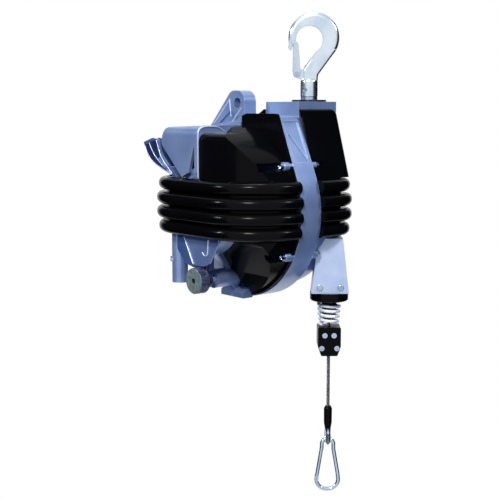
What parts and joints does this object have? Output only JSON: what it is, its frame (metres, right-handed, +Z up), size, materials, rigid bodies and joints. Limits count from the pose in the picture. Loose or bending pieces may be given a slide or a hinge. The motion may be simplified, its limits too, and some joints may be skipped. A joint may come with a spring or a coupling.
{
  "type": "tool balancer",
  "caption": "Spring-driven tool balancer with a swivel hook, ribbed bumper belt, rope guide and carabiner on a wire rope that pays out and winds back.",
  "frame": {"origin": "seat of the suspension hook: the inner top of its bowl, in the hook's middle plane", "axes": "+Z up along the hang, +X along the drum axis from the spring side to the rope drum side, +Y from the rope side to the back"},
  "size_m": [0.229, 0.279, 0.7177],
  "materials": {
    "cast_aluminium": "smooth silver-grey enamel over a casting",
    "black_shell": "deep black moulded plastic, glossy",
    "black_rubber": "black rubber with a wet sheen",
    "zinc_steel": "bright zinc-plated steel",
    "dark_steel": "black oxide steel",
    "painted_lever": "silver-grey painted pressing",
    "grey_knob": "grey-green knurled plastic",
    "silver_spout": "silver-grey painted casting",
    "bright_plate": "satin aluminium plate",
    "white_spring": "pale coated spring wire",
    "clamp_steel": "satin machined block",
    "wire_rope": "stranded galvanised wire rope",
    "bronze": "plain bearing bronze",
    "white_nylon": "natural nylon",
    "machined_steel": "ground steel",
    "spring_steel": "blue tempered spring strip",
    "drum_aluminium": "turned aluminium"
  },
  "bodies": {
    "hook": {"suspension_hook": "zinc_steel", "swivel_stem": "zinc_steel", "stem_nut": "zinc_steel", "stem_pin": "zinc_steel", "latch_pin": "zinc_steel", "latch_spring": "dark_steel"},
    "casing": {"drum_frame": "cast_aluminium", "spring_case": "cast_aluminium", "left_cover": "black_shell", "right_cover": "black_shell", "left_bumper": "black_rubber", "right_bumper": "black_rubber", "case_bolts": "dark_steel", "case_nuts": "dark_steel", "gear_lid": "drum_aluminium", "arbor_bushes": "bronze", "swivel_washer": "dark_steel", "thrust_bearing": "machined_steel", "rope_guide": "silver_spout", "guide_plate": "bright_plate", "guide_screws": "dark_steel", "guide_bush": "white_nylon", "buffer_block": "black_rubber", "buffer_core": "black_rubber", "buffer_spring": "white_spring", "tube_screw": "dark_steel"},
    "latch": {"hook_latch": "zinc_steel"},
    "drum": {"rope_drum": "drum_aluminium", "rope_turns": "wire_rope", "spring_barrel": "drum_aluminium", "barrel_lid": "drum_aluminium", "ratchet_ring": "machined_steel", "drum_bearings": "machined_steel", "mainspring": "spring_steel"},
    "arbor": {"arbor_shaft": "machined_steel", "worm_wheel": "bronze"},
    "worm": {"worm": "machined_steel"},
    "lever": {"lock_lever": "painted_lever", "lever_shaft": "zinc_steel", "lock_pawl": "zinc_steel"},
    "lock": {"lock_knob": "grey_knob", "lock_pin": "zinc_steel"},
    "rope_end": {"rope_upper": "wire_rope", "rope_lower": "wire_rope", "clamp_front": "clamp_steel", "clamp_back": "clamp_steel", "clamp_screws": "dark_steel", "rope_sleeve": "zinc_steel", "thimble": "zinc_steel", "rope_eye": "wire_rope"},
    "carabiner": {"carabiner": "zinc_steel", "gate_pin": "zinc_steel"},
    "gate": {"carabiner_gate": "zinc_steel"}
  },
  "joints": [
    {"name": "hook_swivel", "type": "hinge", "parent": "hook", "child": "casing", "pos_m": [0, 0, -0.1107], "axis": [0, 0, 1], "continuous": true},
    {"name": "latch_hinge", "type": "hinge", "parent": "hook", "child": "latch", "pos_m": [-0.01432, 0.01202, -0.0697], "axis": [0.6428, 0.766, 0], "range_deg": [0, 30], "stiffness_Nm_per_rad": 0.02, "springref_deg": -20.05},
    {"name": "drum_spin", "type": "hinge", "parent": "casing", "child": "drum", "pos_m": [-0.084, 0.054, -0.2687], "axis": [1, 0, 0], "range_deg": [0, 1140], "stiffness_Nm_per_rad": 0.05, "springref_deg": -1432.39},
    {"name": "rope_travel", "type": "slide", "parent": "casing", "child": "rope_end", "axis": [0, 0, -1], "range_m": [0, 2.0061], "deforming": ["rope_upper"]},
    {"name": "arbor_adjust", "type": "hinge", "parent": "casing", "child": "arbor", "pos_m": [-0.084, 0.054, -0.2687], "axis": [1, 0, 0], "continuous": true},
    {"name": "worm_spin", "type": "hinge", "parent": "casing", "child": "worm", "pos_m": [-0.153, 0.1175, -0.2687], "axis": [0, 0, 1], "continuous": true},
    {"name": "lever_hinge", "type": "hinge", "parent": "casing", "child": "lever", "pos_m": [-0.1645, 0.114, -0.2267], "axis": [-1, 0, 0], "range_deg": [0, 12]},
    {"name": "lock_pin_slide", "type": "slide", "parent": "casing", "child": "lock", "axis": [1, 0, 0], "range_m": [0, 0.008]},
    {"name": "carabiner_swing", "type": "hinge", "parent": "rope_end", "child": "carabiner", "pos_m": [0, -0.0468, -0.6159], "axis": [0.766, -0.6428, 0], "range_deg": [-30, 30]},
    {"name": "gate_hinge", "type": "hinge", "parent": "carabiner", "child": "gate", "pos_m": [-0.01241, -0.03639, -0.6758], "axis": [0.6428, 0.766, 0], "range_deg": [0, 15], "stiffness_Nm_per_rad": 0.02, "springref_deg": -20.05}
  ],
  "couplings": [
    {"joint": "rope_travel", "follows": "drum_spin", "m_per_rad": 0.1008},
    {"joint": "worm_spin", "follows": "arbor_adjust", "ratio": 74}
  ]
}
